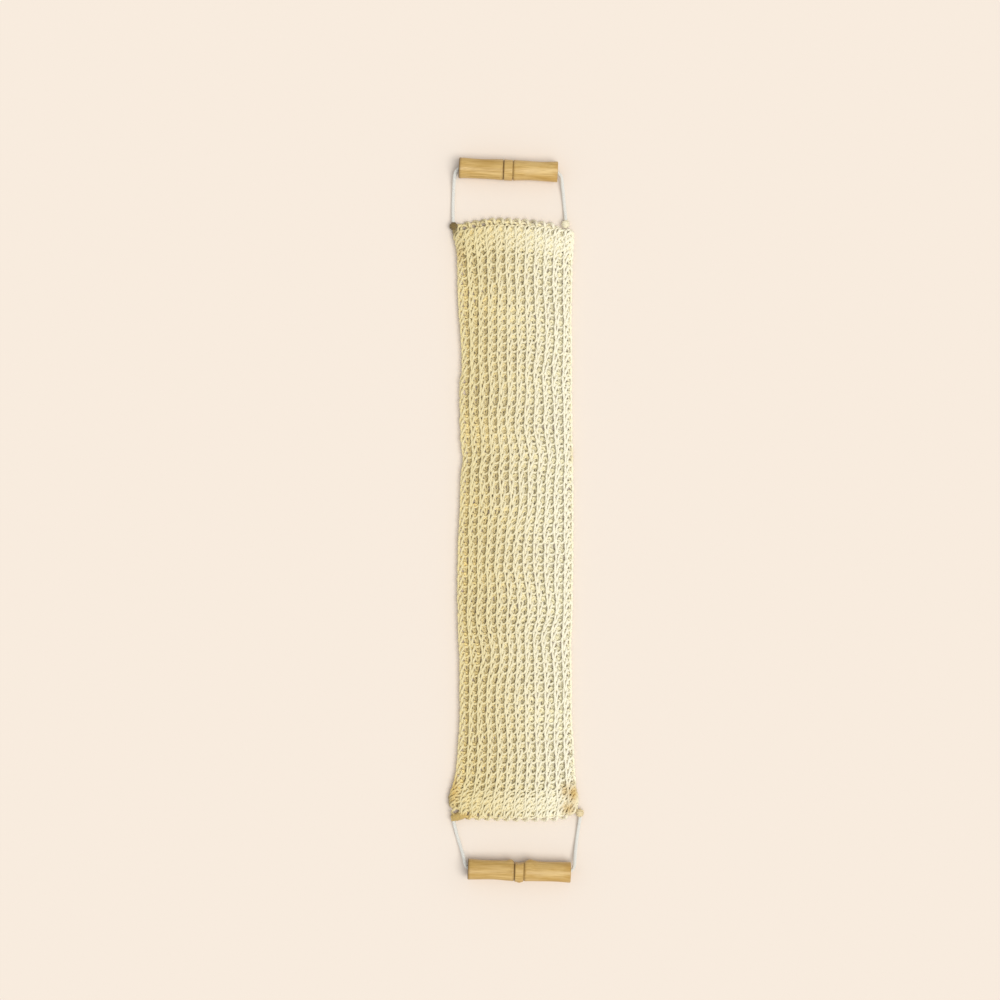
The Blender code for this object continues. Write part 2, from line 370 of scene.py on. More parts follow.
def tube_mesh(
    name, points, normals, radius, sides=SIDES, relief=PLY_RELIEF, pitch=PLY_PITCH, slub=0.0, swell=1.0
):
    """A yarn of two twisted plies as a closed tube, and the places of its points.

    Its yarn_place attribute unrolls it: how far along, and which way round the yarn.
    """
    along = unit(np.gradient(points, axis=0))
    across = unit(np.cross(along, normals))
    out = np.cross(across, along)
    walked = distances(points)
    angle = np.arange(sides) * math.tau / sides
    rolled = angle[None, :] - math.tau * walked[:, None] / pitch
    knots = np.arange(0.0, walked[-1] + 2 * SLUB_SPACING, SLUB_SPACING)
    thickness = 1 + slub * rng.normal(0.0, 1.0, len(knots)).clip(-2.0, 2.0)
    radii = (radius * swell * np.interp(walked, knots, thickness))[:, None]
    ring = radii * (1 + relief * np.cos(2 * rolled))
    sideways = np.cos(angle)[None, :, None] * across[:, None, :]
    outwards = np.sin(angle)[None, :, None] * out[:, None, :]
    co = (points[:, None, :] + ring[..., None] * (sideways + outwards)).reshape(-1, 3)
    mesh = closed_tube(name, co, len(points), sides)
    far = np.broadcast_to(walked[:, None], rolled.shape)
    place = np.stack([far, radius * np.cos(rolled), radius * np.sin(rolled)], axis=-1)
    store_places(mesh, "yarn_place", place)
    return linked(name, mesh), co


def hair_mesh(name, points, normals):
    """Loose fibre ends standing off the yarn: thin curved spikes rooted inside it."""
    count = int(len(points) / SAMPLES * HAIRS_PER_LOOP)
    root = rng.integers(4, len(points) - 4, count)
    along = unit(points[root + 1] - points[root - 1])
    along *= rng.choice((-1.0, 1.0), count)[:, None]
    side = np.cross(along, normals[root])
    lean = rng.uniform(-1.0, 1.0, count)[:, None]
    rise = rng.uniform(0.25, 1.0, count)[:, None]
    heading = unit(along + lean * side * 0.8 + rise * normals[root] * 0.7)
    curl = rng.normal(0.0, 1.0, (count, 3))
    curl -= heading * (curl * heading).sum(axis=1, keepdims=True)
    length = rng.uniform(HAIR_SHORTEST, HAIR_LONGEST, count)[:, None, None]
    start = points[root] + YARN_RADIUS * (0.35 * normals[root] + 0.45 * lean * side)
    t = np.linspace(0.0, 1.0, HAIR_STEPS)[None, :, None]
    bent = t * heading[:, None, :] + HAIR_CURL * t * t * curl[:, None, :]
    path = start[:, None, :] + length * bent
    path[..., 2] = np.maximum(path[..., 2], 2 * HAIR_RADIUS)
    u = unit(np.cross(heading, (0.3, 0.2, 0.93)))
    w = np.cross(heading, u)
    angle = (np.arange(3) * math.tau / 3)[None, :, None]
    ring = np.cos(angle) * u[:, None, :] + np.sin(angle) * w[:, None, :]
    taper = HAIR_RADIUS * (1 - HAIR_TAPER * t)
    co = (path[:, :, None, :] + taper[..., None] * ring[:, None, :, :]).reshape(-1, 3)
    k = np.arange(count)[:, None, None] * HAIR_STEPS * 3
    i = np.arange(HAIR_STEPS - 1)[None, :, None] * 3
    j = np.arange(3)[None, None, :]
    n = (j + 1) % 3
    quads = np.stack([k + i + j, k + i + n, k + i + 3 + n, k + i + 3 + j], axis=-1)
    base = np.arange(count)[:, None] * HAIR_STEPS * 3
    roots = base + np.array([2, 1, 0])
    tips = base + (HAIR_STEPS - 1) * 3 + np.arange(3)
    faces = [*quads.reshape(-1, 4).tolist(), *roots.tolist(), *tips.tolist()]
    mesh = bpy.data.meshes.new(name)
    mesh.from_pydata(co.tolist(), [], faces)
    mesh.shade_smooth()
    store_places(mesh, "yarn_place", co)
    return linked(name, mesh), co


def hem_path(side):
    """The yarn of the fabric turned in at one end of the strap, behind the outer loops."""
    first = HEM_FIRST if side < 0 else COURSES - HEM_FIRST - HEM_COURSES
    count = WALES * HEM_COURSES
    t = np.linspace(0.0, math.tau * count, count * SAMPLES + 1)
    loop = t / math.tau
    uneven_u, uneven_v = unevenness(loop, count, HEM_JITTER)
    u = loop + 0.5 + HEM_SWAY * np.sin(2 * t) + HEM_LEAN * np.cos(t) + uneven_u
    v = first + loop / WALES + HEM_REACH * np.cos(t) + uneven_v
    v = np.clip(v, -LOOP_REACH, COURSES + LOOP_REACH)
    return tube_point(u, v, -HEM_INSET - HEM_DEPTH * np.cos(2 * t))


def joined(objects, name):
    """The objects as one, under this name."""
    bpy.ops.object.select_all(action="DESELECT")
    for obj in objects:
        obj.select_set(True)
    bpy.context.view_layer.objects.active = objects[0]
    bpy.ops.object.join()
    objects[0].name = name
    objects[0].data.name = name
    return objects[0]


# ---------------------------------------------------------------- materials

# The yarn's colours, darkened by painted shade towards the strap's left edge and paled by painted light
# towards its right one.
LIGHT_LEFT = (0.92, 0.82, 0.51, 1.0)
LIGHT_RIGHT = (1.0, 0.97, 0.79, 1.0)
MID_LEFT = (0.82, 0.70, 0.37, 1.0)
MID_RIGHT = (1.0, 0.94, 0.74, 1.0)
# Painted glow: the yarn inside the tube is brighter and more golden, in place of light shining through
# and between the yarns.
INSIDE_GLOW_LEFT = (0.98, 0.80, 0.35, 1.0)
INSIDE_GLOW_RIGHT = (1.0, 0.95, 0.68, 1.0)
GOLD = (0.66, 0.42, 0.07, 1.0)
# For the painted shade on the strap's edges, and for the darker knots.
DARK_BROWN = (0.15, 0.088, 0.010, 1.0)
CORD_WHITE = (0.86, 0.86, 0.82, 1.0)
CORD_GREY = (0.66, 0.65, 0.60, 1.0)
FIBRE_DARK = (0.45, 0.27, 0.07, 1.0)
FIBRE_LIGHT = (0.72, 0.50, 0.18, 1.0)
BAND_LIGHT = (0.78, 0.56, 0.25, 1.0)
PATCH_GOLDEN = (0.50, 0.26, 0.035, 1.0)
DEEP_GOLDEN = (0.42, 0.235, 0.035, 1.0)
END_BROWN = (0.16, 0.09, 0.03, 1.0)
SCORCHED = (0.10, 0.05, 0.015, 1.0)


def new_material(name):
    made = bpy.data.materials.new(name)
    made.use_nodes = True
    nodes = made.node_tree.nodes
    return made, nodes, made.node_tree.links, nodes["Principled BSDF"]


def mix_colour(nodes, links, factor, first, second):
    """The first colour where factor is 0 and the second where it is 1."""
    mix = nodes.new("ShaderNodeMix")
    mix.data_type = "RGBA"
    for socket, value in (("Factor", factor), (6, first), (7, second)):
        if isinstance(value, tuple):
            mix.inputs[socket].default_value = value
        else:
            links.new(value, mix.inputs[socket])
    return mix.outputs[2]


def read_attribute(nodes, name, output="Fac"):
    node = nodes.new("ShaderNodeAttribute")
    node.attribute_name = name
    return node.outputs[output]


def stretched_noise(nodes, links, vector, scale, size, detail, roughness=0.6):
    """Noise drawn out along the axes whose scale is small."""
    mapping = nodes.new("ShaderNodeMapping")
    mapping.inputs["Scale"].default_value = scale
    links.new(vector, mapping.inputs["Vector"])
    noise = nodes.new("ShaderNodeTexNoise")
    noise.inputs["Scale"].default_value = size
    noise.inputs["Detail"].default_value = detail
    noise.inputs["Roughness"].default_value = roughness
    links.new(mapping.outputs[0], noise.inputs["Vector"])
    return noise.outputs["Fac"]


def ramp(nodes, links, value, low, high):
    """0 where the value is low, 1 where it is high."""
    node = nodes.new("ShaderNodeMapRange")
    node.inputs["From Min"].default_value = low
    node.inputs["From Max"].default_value = high
    links.new(value, node.inputs["Value"])
    return node.outputs["Result"]


def ply_ridge(nodes, links, place):
    """1 along the back of each of the yarn's two plies, falling to -1 in the groove between them."""
    axes = nodes.new("ShaderNodeSeparateXYZ")
    links.new(place, axes.inputs[0])
    turn = nodes.new("ShaderNodeMath")
    turn.operation = "ARCTAN2"
    links.new(axes.outputs["Z"], turn.inputs[0])
    links.new(axes.outputs["Y"], turn.inputs[1])
    doubled = nodes.new("ShaderNodeMath")
    doubled.operation = "MULTIPLY"
    doubled.inputs[1].default_value = 2.0
    links.new(turn.outputs[0], doubled.inputs[0])
    ridge = nodes.new("ShaderNodeMath")
    ridge.operation = "COSINE"
    links.new(doubled.outputs[0], ridge.inputs[0])
    return ridge.outputs[0]


def add_bump(nodes, links, height, strength, distance, normal=None):
    bump = nodes.new("ShaderNodeBump")
    bump.inputs["Strength"].default_value = strength
    bump.inputs["Distance"].default_value = distance
    links.new(height, bump.inputs["Height"])
    if normal is not None:
        links.new(normal, bump.inputs["Normal"])
    return bump.outputs["Normal"]


def yarn_material(name):
    """Coarse plant-fibre yarn: streaks along its plies, painted shade in the grooves between them, a
    painted glow on the tube's inner side, painted shade to the left and painted light to the right,
    painted shade spots, darker knots, and gold stains.
    """
    made, nodes, links, shader = new_material(name)
    # left carries the painted shade on the strap's left side and the painted light on its right.
    left = read_attribute(nodes, "left")
    light = mix_colour(nodes, links, left, LIGHT_RIGHT, LIGHT_LEFT)
    mid = mix_colour(nodes, links, left, MID_RIGHT, MID_LEFT)
    inside_glow = mix_colour(nodes, links, left, INSIDE_GLOW_RIGHT, INSIDE_GLOW_LEFT)
    place = read_attribute(nodes, "yarn_place", "Vector")
    streak = stretched_noise(nodes, links, place, (0.13, 1.0, 1.0), 6500.0, 3.0)
    patch = stretched_noise(nodes, links, place, (1.0, 0.3, 0.3), 60.0, 2.0)
    colour = mix_colour(nodes, links, ramp(nodes, links, streak, 0.35, 0.68), mid, light)
    toned = mix_colour(nodes, links, ramp(nodes, links, patch, 0.42, 0.80), colour, mid)
    ridge = ply_ridge(nodes, links, place)
    # Painted shade: the yarn is darkened halfway to its mid colour in the grooves between its plies.
    painted_groove_shade = mix_colour(nodes, links, ramp(nodes, links, ridge, 1.0, -3.0), toned, mid)
    # Painted glow on the yarn inside the tube, standing in for light through and between the yarns.
    painted_glow = read_attribute(nodes, "painted_glow")
    glowing = mix_colour(nodes, links, painted_glow, painted_groove_shade, inside_glow)
    # Painted shade along the strap's top edge and at its left corners, and the darker knots.
    darkened = mix_colour(nodes, links, read_attribute(nodes, "darkening"), glowing, DARK_BROWN)
    gilded = mix_colour(nodes, links, read_attribute(nodes, "gold"), darkened, GOLD)
    links.new(gilded, shader.inputs["Base Color"])
    shader.inputs["Roughness"].default_value = 0.72
    shader.inputs["Specular IOR Level"].default_value = 0.35
    shader.inputs["Sheen Weight"].default_value = 0.25
    shader.inputs["Sheen Roughness"].default_value = 0.5
    twisted = add_bump(nodes, links, ridge, 0.8, 0.14 * MM)
    fibrous = add_bump(nodes, links, streak, 0.8, 0.35 * MM, twisted)
    links.new(fibrous, shader.inputs["Normal"])
    return made


# Marks on the yarn, as (x, y, half width, half height, depth) in metres and shares: painted shade along
# the strap's top edge and at its left corners, then gold stains.
PAINTED_SHADE_SPOTS = (
    (-0.0488, 0.2232, 0.0030, 0.0042, 0.85),
    (-0.0282, 0.2306, 0.0038, 0.0026, 0.38),
    (-0.0400, 0.2290, 0.0025, 0.0022, 0.30),
    (-0.0120, 0.2322, 0.0040, 0.0022, 0.22),
    (0.0129, 0.2300, 0.0038, 0.0026, 0.34),
    (-0.0532, -0.2170, 0.0030, 0.0110, 0.75),
    (-0.0500, -0.2290, 0.0050, 0.0035, 0.65),
    (-0.0440, 0.2100, 0.0030, 0.0120, 0.15),
)
GOLD_SPOTS = (
    (0.0440, -0.2110, 0.0040, 0.0070, 0.85),
    (0.0400, -0.2230, 0.0050, 0.0048, 0.70),
    (0.0370, -0.2085, 0.0028, 0.0050, 0.55),
    (-0.0420, -0.2290, 0.0080, 0.0030, 0.80),
    (-0.0485, -0.2080, 0.0038, 0.0115, 0.65),
    (-0.0440, 0.2040, 0.0030, 0.0060, 0.35),
    (0.0440, 0.0500, 0.0030, 0.0060, 0.30),
)


# Where the painted shade on the strap's left side fades into the painted light on its right.
PAINTED_SHADE_START = -47 * MM
PAINTED_SHADE_WIDTH = 92 * MM


def painted_shade_leftwards(x):
    """1 at the strap's left edge, where painted shade darkens the yarn, falling to 0 at its right, where
    painted light pales it.
    """
    return 1 - eased_step((x - PAINTED_SHADE_START) / PAINTED_SHADE_WIDTH)


def spots(co, places):
    """How strongly each point takes a mark, from spots as (x, y, half width, half height, depth),
    painted shade for one list and gold stains for the other.
    """
    total = np.zeros(len(co))
    for x, y, wide, high, depth in places:
        total += depth * np.exp(-(((co[:, 0] - x) / wide) ** 2) - ((co[:, 1] - y) / high) ** 2)
    return np.clip(total, 0.0, 0.9)


def painted_shade_and_gold(obj, co):
    """Stores where the yarn is on the strap, for its material: painted shade and light from left to
    right, painted shade spots and gold stains.
    """
    store(obj, "left", painted_shade_leftwards(co[:, 0]))
    store(obj, "darkening", spots(co, PAINTED_SHADE_SPOTS))
    store(obj, "gold", spots(co, GOLD_SPOTS))


# How the painted glow spreads over the yarn inside the tube.
INNER_BELOW = LAYER_HALF_GAP + 0.2 * MM
INNER_DEPTH = 2.2 * MM
INNER_MOST = 0.9
INNER_AT_BOWS = 0.2


def painted_glow_share(co, facing):
    """How far inside the flattened tube each point of the yarn is, for the painted glow there."""
    middle = LAYER_LOW + LAYER_HALF_GAP
    outwards = (co[:, 2] - middle) * facing[:, 2]
    painted_glow = np.clip((INNER_BELOW - outwards) / INNER_DEPTH, 0.0, 1.0)
    lies_flat = np.abs(facing[:, 2]) > 0.5
    return INNER_MOST * np.where(lies_flat, painted_glow, INNER_AT_BOWS)


def build_band(name, points, normals, finish):
    """One band of the knit with its loose fibre ends."""
    swell = 1 + UNDER_SWELL * np.clip(-normals[:, 2], 0.0, 1.0)
    yarn, co = tube_mesh(name, points, normals, YARN_RADIUS, slub=SLUB, swell=swell)
    store(yarn, "painted_glow", painted_glow_share(co, np.repeat(normals, SIDES, axis=0)))
    painted_shade_and_gold(yarn, co)
    yarn.data.materials.append(finish)
    hairs, co = hair_mesh(name + "_hairs", points, normals)
    store(hairs, "painted_glow", np.zeros(len(co)))
    painted_shade_and_gold(hairs, co)
    hairs.data.materials.append(finish)
    return joined([yarn, hairs], name)


def build_knit(finish):
    """The whole knitted tube, cut into its bands."""
    loop, points, normals = yarn_path()
    base_y = height_at(course_share(loop / WALES))
    made = {}
    for name, low, high in BANDS:
        inside = np.flatnonzero((base_y >= low) & (base_y <= high))
        part = slice(inside[0], inside[-1] + 2)
        made[name] = build_band(name, points[part], normals[part], finish)
    return made


def build_hem(name, side, finish):
    points, normals = hem_path(side)
    obj, co = tube_mesh(name + "_hem", points, normals, YARN_RADIUS)
    # The hem lies inside the tube and takes a little of the painted glow.
    store(obj, "painted_glow", np.full(len(co), 0.1))
    painted_shade_and_gold(obj, co)
    obj.data.materials.append(finish)
    return obj


# ---------------------------------------------------------------- cords

UPPER_ROUTE = (
    (-0.0489, 0.2309, 0.0037),
    (-0.0491, 0.2366, 0.0025),
    (-0.0491, 0.2440, 0.0018),
    (-0.0488, 0.2520, 0.0022),
    (-0.0483, 0.2600, 0.0040),
    (-0.0477, 0.26585, 0.0060),
    (-0.04687, 0.26874, 0.0070),
    (-0.0446, 0.27078, 0.0077),
    (-0.0415, 0.27144, 0.0080),
    (-0.0320, 0.27105, 0.0080),
    (-0.0064, 0.2700, 0.0080),
    (0.0180, 0.2690, 0.0080),
    (0.02875, 0.26856, 0.0080),
    (0.03185, 0.26765, 0.0077),
    (0.03412, 0.26542, 0.0070),
    (0.03495, 0.26246, 0.0060),
    (0.0356, 0.2571, 0.0041),
    (0.0364, 0.2496, 0.0023),
    (0.0371, 0.2416, 0.0018),
    (0.0377, 0.2360, 0.0026),
    (0.0379, 0.2324, 0.0036),
)
LOWER_ROUTE = (
    (-0.0484, -0.2332, 0.0037),
    (-0.0471, -0.2394, 0.0024),
    (-0.0450, -0.2470, 0.0018),
    (-0.0428, -0.2540, 0.0029),
    (-0.0408, -0.2606, 0.0053),
    (-0.03988, -0.26463, 0.0068),
    (-0.03882, -0.26684, 0.0076),
    (-0.0367, -0.26856, 0.0082),
    (-0.0340, -0.26923, 0.0084),
    (-0.0260, -0.26947, 0.0084),
    (0.0020, -0.2703, 0.0084),
    (0.0300, -0.27113, 0.0084),
    (0.0382, -0.27137, 0.0084),
    (0.04113, -0.27077, 0.0082),
    (0.04348, -0.26887, 0.0075),
    (0.04455, -0.26612, 0.0065),
    (0.0451, -0.2605, 0.0046),
    (0.0459, -0.2520, 0.0025),
    (0.0470, -0.2435, 0.0018),
    (0.0482, -0.2360, 0.0026),
    (0.0490, -0.2302, 0.0037),
)
CORD_STUB = 0.8 * MM  # carried on into the knot at each end
BRAID_STEP = 0.25 * MM
BRAID_PITCH = 7.0 * MM
BRAID_RADIUS = 0.83 * MM
BRAID_WEAVE = 0.13 * MM
STRAND_RADIUS = 0.44 * MM
CORE_RADIUS = 0.78 * MM
STRANDS_EACH_WAY = 4
STRAND_SIDES = 6
CORE_SIDES = 10
UNTWISTED = 1.0  # metres: a pitch so long that a strand shows no twist
CURVE_STEPS = 41


def even_route(given, step):
    """Even points, step apart, on a centripetal Catmull-Rom curve, and the curve's length."""
    p = np.array(given)
    p = np.vstack([2 * p[0] - p[1], p, 2 * p[-1] - p[-2]])
    knots = np.concatenate([[0.0], np.cumsum(np.linalg.norm(np.diff(p, axis=0), axis=1) ** 0.5)])
    dense = [p[1]]
    for i in range(1, len(p) - 2):
        k0, k1, k2, k3 = knots[i - 1 : i + 3]
        for t in np.linspace(k1, k2, CURVE_STEPS)[1:]:
            a1 = (k1 - t) / (k1 - k0) * p[i - 1] + (t - k0) / (k1 - k0) * p[i]
            a2 = (k2 - t) / (k2 - k1) * p[i] + (t - k1) / (k2 - k1) * p[i + 1]
            a3 = (k3 - t) / (k3 - k2) * p[i + 1] + (t - k2) / (k3 - k2) * p[i + 2]
            b1 = (k2 - t) / (k2 - k0) * a1 + (t - k0) / (k2 - k0) * a2
            b2 = (k3 - t) / (k3 - k1) * a2 + (t - k1) / (k3 - k1) * a3
            dense.append((k2 - t) / (k2 - k1) * b1 + (t - k1) / (k2 - k1) * b2)
    dense = np.array(dense)
    walked = distances(dense)
    at = np.linspace(0.0, walked[-1], int(round(walked[-1] / step)) + 1)
    even = np.stack([np.interp(at, walked, dense[:, axis]) for axis in range(3)], axis=-1)
    return even, walked[-1]


def carried_frames(points):
    """Two cross directions at each point, carried along without twisting."""
    along = unit(np.gradient(points, axis=0))
    side = np.empty_like(points)
    side[0] = np.cross(along[0], (0.0, 0.0, 1.0))
    side[0] /= np.linalg.norm(side[0])
    for i in range(1, len(points)):
        carried = side[i - 1] - along[i] * side[i - 1].dot(along[i])
        side[i] = carried / np.linalg.norm(carried)
    return side, np.cross(along, side)


def into_knot(route, knot):
    """The route with each end carried on a little into its corner's knot."""
    stubs = []
    for end, side in ((route[0], "left"), (route[-1], "right")):
        low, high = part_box(knot + "_" + side + "_lashing")
        inwards = np.array((low + high) / 2) - np.array(end)
        inwards[0] = 0.0
        stubs.append(tuple(np.array(end) + inwards * (CORD_STUB / np.linalg.norm(inwards))))
    return (stubs[0], *route, stubs[1])


def braided_cord(name, route, finish):
    """A core with strands wound round it both ways, over and under each other."""
    _, length = even_route(route, BRAID_STEP)
    points, whole = even_route(into_knot(route, name.split("_")[0]), BRAID_STEP)
    side, lift = carried_frames(points)
    turned = math.tau * np.linspace(0.0, whole, len(points)) / BRAID_PITCH
    plain = {"relief": 0.0, "pitch": UNTWISTED}
    parts = [tube_mesh(name + "_core", points, side, CORE_RADIUS, CORE_SIDES, **plain)[0]]
    for hand in (1, -1):
        reach = BRAID_RADIUS + hand * BRAID_WEAVE * np.cos(STRANDS_EACH_WAY * turned)
        for k in range(STRANDS_EACH_WAY):
            angle = hand * turned + k * math.tau / STRANDS_EACH_WAY
            spoke = np.cos(angle)[:, None] * side + np.sin(angle)[:, None] * lift
            strand = points + spoke * reach[:, None]
            parts.append(
                tube_mesh(name + "_strand", strand, spoke, STRAND_RADIUS, STRAND_SIDES, **plain)[0]
            )
    obj = joined(parts, name)
    obj.data.materials.append(finish)
    return obj, points, length


def cord_material():
    """Soft white braid: fine filaments along each strand, some of them grey."""
    made, nodes, links, shader = new_material("braided_cord")
    place = read_attribute(nodes, "yarn_place", "Vector")
    streak = stretched_noise(nodes, links, place, (0.15, 1.0, 1.0), 5200.0, 2.0)
    colour = mix_colour(nodes, links, ramp(nodes, links, streak, 0.35, 0.7), CORD_GREY, CORD_WHITE)
    links.new(colour, shader.inputs["Base Color"])
    shader.inputs["Roughness"].default_value = 0.6
    shader.inputs["Sheen Weight"].default_value = 0.3
    links.new(add_bump(nodes, links, streak, 0.4, 0.1 * MM), shader.inputs["Normal"])
    return made


# ---------------------------------------------------------------- handles

HANDLE_RADIUS = 8.0 * MM
BAND_RADIUS = {"upper_handle": 8.0 * MM, "lower_handle": 8.4 * MM}  # between the grooves
HANDLE_WAIST = 0.55 * MM
END_ROUND = 0.9 * MM
GROOVE_OFFSET = 3.7 * MM
GROOVE_WIDTH = 1.0 * MM
GROOVE_DEPTH = 0.7 * MM
BORE_RADIUS = 2.4 * MM
MOUTH_RADIUS = 4.8 * MM
MOUTH_DEPTH = 5.5 * MM
# The lower handle's strap side: a notch cut into it, as (along, out from the stick), the two
# shoulders beside the notch, as (along, width, height), and a low swelling on its far side.
NICK_LINE = (
    (-12.0 * MM, 3.0 * MM),
    (-7.0 * MM, 1.2 * MM),
    (-5.9 * MM, 0.6 * MM),
    (-3.9 * MM, -1.7 * MM),
    (-2.6 * MM, -2.4 * MM),
    (0.8 * MM, -2.5 * MM),
    (2.6 * MM, -1.9 * MM),
    (7.4 * MM, 0.7 * MM),
    (8.8 * MM, 1.3 * MM),
    (14.0 * MM, 3.0 * MM),
)
NICK_SHARE = 0.93  # how much of what stands past the line is cut away
SHOULDERS = ((-6.6 * MM, 2.6 * MM, 0.9 * MM), (8.6 * MM, 3.0 * MM, 1.0 * MM))
FAR_SWELLING = (0.3 * MM, 1.8 * MM, 0.9 * MM)
# The upper handle's golden patch, as (along, width, angle round the stick, strength).
GOLDEN_PATCH = (-16 * MM, 9 * MM, 0.5, 0.55)
HANDLE_STEPS = 96
RIM_ROWS = 7
BODY_ROWS = 25
GROOVE_ROWS = 10
BAND_ROWS = 5
MOUTH_ROWS = 11
MOUTH_RIM = 1.1 * MM
GROOVE_SQUARENESS = 0.7


def mirrored(rows):
    """The rows of one half of the stick, carried over to its other half."""
    return [(-along, radius) for along, radius in reversed(rows)]


def handle_profile(length, band):
    """The turned outside and then the bore and its mouths, as rows of (along, radius)."""
    half = length / 2
    groove_outer = GROOVE_OFFSET + GROOVE_WIDTH / 2
    groove_inner = GROOVE_OFFSET - GROOVE_WIDTH / 2
    run = half - END_ROUND - groove_outer
    side = []
    for share in np.linspace(0.0, 1.0, RIM_ROWS):
        angle = share * math.pi / 2
        side.append(
            (half - END_ROUND * (1 - math.cos(angle)), HANDLE_RADIUS - END_ROUND * (1 - math.sin(angle)))
        )
    for share in np.linspace(0.0, 1.0, BODY_ROWS)[1:]:
        waist = HANDLE_WAIST * math.sin(math.pi * share)
        side.append((half - END_ROUND - run * share, HANDLE_RADIUS - waist))
    for share in np.linspace(0.0, 1.0, GROOVE_ROWS)[1:]:
        dip = GROOVE_DEPTH * max(math.sin(math.pi * share), 0.0) ** GROOVE_SQUARENESS
        level = HANDLE_RADIUS + (band - HANDLE_RADIUS) * share
        side.append((groove_outer - GROOVE_WIDTH * share, level - dip))
    for share in np.linspace(1.0, 0.0, BAND_ROWS)[1:]:
        side.append((groove_inner * share, band))
    outside = side + mirrored(side[:-1])
    mouth = [(-half, MOUTH_RADIUS + MOUTH_RIM)]
    for share in np.linspace(0.0, 1.0, MOUTH_ROWS):
        radius = BORE_RADIUS + (MOUTH_RADIUS - BORE_RADIUS) * (1 - share) ** 2
        mouth.append((-half + MOUTH_DEPTH * share, radius))
    return outside, mouth + mirrored(mouth)


def bell(along, middle, width):
    return np.exp(-(((along - middle) / width) ** 2))


def nicked(y, along, phi):
    """The lower handle's outside, with its shoulders, its notch and the swelling behind them."""
    strapwards = np.clip(np.cos(phi), 0.0, 1.0) ** 1.5
    for middle, width, height in SHOULDERS:
        y = y + height * bell(along, middle, width) * strapwards
    line_x, line_y = zip(*NICK_LINE)
    level = HANDLE_RADIUS + np.interp(along, line_x, line_y)
    y = y - NICK_SHARE * np.maximum(y - level, 0.0)
    middle, width, height = FAR_SWELLING
    return y - height * bell(along, middle, width) * np.clip(-np.cos(phi), 0.0, 1.0) ** 3


def ring_surface(name, co):
    """A closed mesh over rows of rings of points, its last row joined to its first."""
    rows, steps = co.shape[:2]
    i = np.arange(rows)[:, None] * steps
    after = (np.arange(rows)[:, None] + 1) % rows * steps
    j = np.arange(steps)[None, :]
    k = (j + 1) % steps
    quads = np.stack([i + j, after + j, after + k, i + k], axis=-1)
    mesh = bpy.data.meshes.new(name)
    mesh.from_pydata(co.reshape(-1, 3).tolist(), [], quads.reshape(-1, 4).tolist())
    mesh.validate()
    mesh.shade_smooth()
    mesh.update()
    return mesh


def build_handle(name, finish, band, nick):
    """A turned stick, a little uneven, with its grooves, bore and mouths."""
    length = HANDLE_LENGTH[name]
    outside, inside = handle_profile(length, band)
    along, radius = np.array(outside + inside).T
    outer = (np.arange(len(along)) < len(outside))[:, None]
    steps = np.arange(HANDLE_STEPS) * math.tau / HANDLE_STEPS
    a, phi = np.broadcast_arrays(along[:, None], steps[None, :])
    wobble = (
        0.10 * np.sin(2 * phi + 90 * a + rng.uniform(0, 6))
        + 0.07 * np.sin(3 * phi - 140 * a + rng.uniform(0, 6))
        + 0.09 * np.sin(260 * a + phi + rng.uniform(0, 6))
    )
    r = radius[:, None] + np.where(outer, wobble * MM, 0.0)
    y = r * np.cos(phi)
    z = r * np.sin(phi)
    if nick:
        y = np.where(outer, nicked(y, a, phi), y)
    centre = np.mean(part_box(name), axis=0)
    cos, sin = math.cos(HANDLE_TILT[name]), math.sin(HANDLE_TILT[name])
    x_placed = centre[0] + a * cos - y * sin
    y_placed = centre[1] + a * sin + y * cos
    z_placed = np.maximum(centre[2] + z, 0.0)
    mesh = ring_surface(name + "_turned", np.stack([x_placed, y_placed, z_placed], axis=-1))
    store_places(mesh, "wood_place", np.stack([a, y, z], axis=-1))
    obj = linked(name + "_turned", mesh)
    burnt = bell(np.abs(a), GROOVE_OFFSET, 0.42 * MM) * outer * np.where(a < 0, 1.0, 0.55)
    store(obj, "burnt", burnt.ravel())
    deeper = (0.26 if nick else 0.10) - a * 4.0
    if not nick:
        middle, width, turn, strength = GOLDEN_PATCH
        facing = np.clip(np.cos(phi - turn), 0.0, 1.0)
        deeper = deeper + strength * bell(a, middle, width) * facing
    store(obj, "deeper", np.clip(deeper, 0.0, 0.8).ravel())
    # Darker end grain at both ends and in the bore, with painted shade making the left end and the left
    # half of the bore much darker than the right.
    ends = np.clip((np.abs(a) - (length / 2 - 1.3 * MM)) / (1.0 * MM), 0.0, 1.0)
    ends = np.where(outer, ends, 1.0)
    store(obj, "end_grain_and_shade", (ends * np.where(a < 0, 1.0, 0.15)).ravel())
    obj.data.materials.append(finish)
    return obj


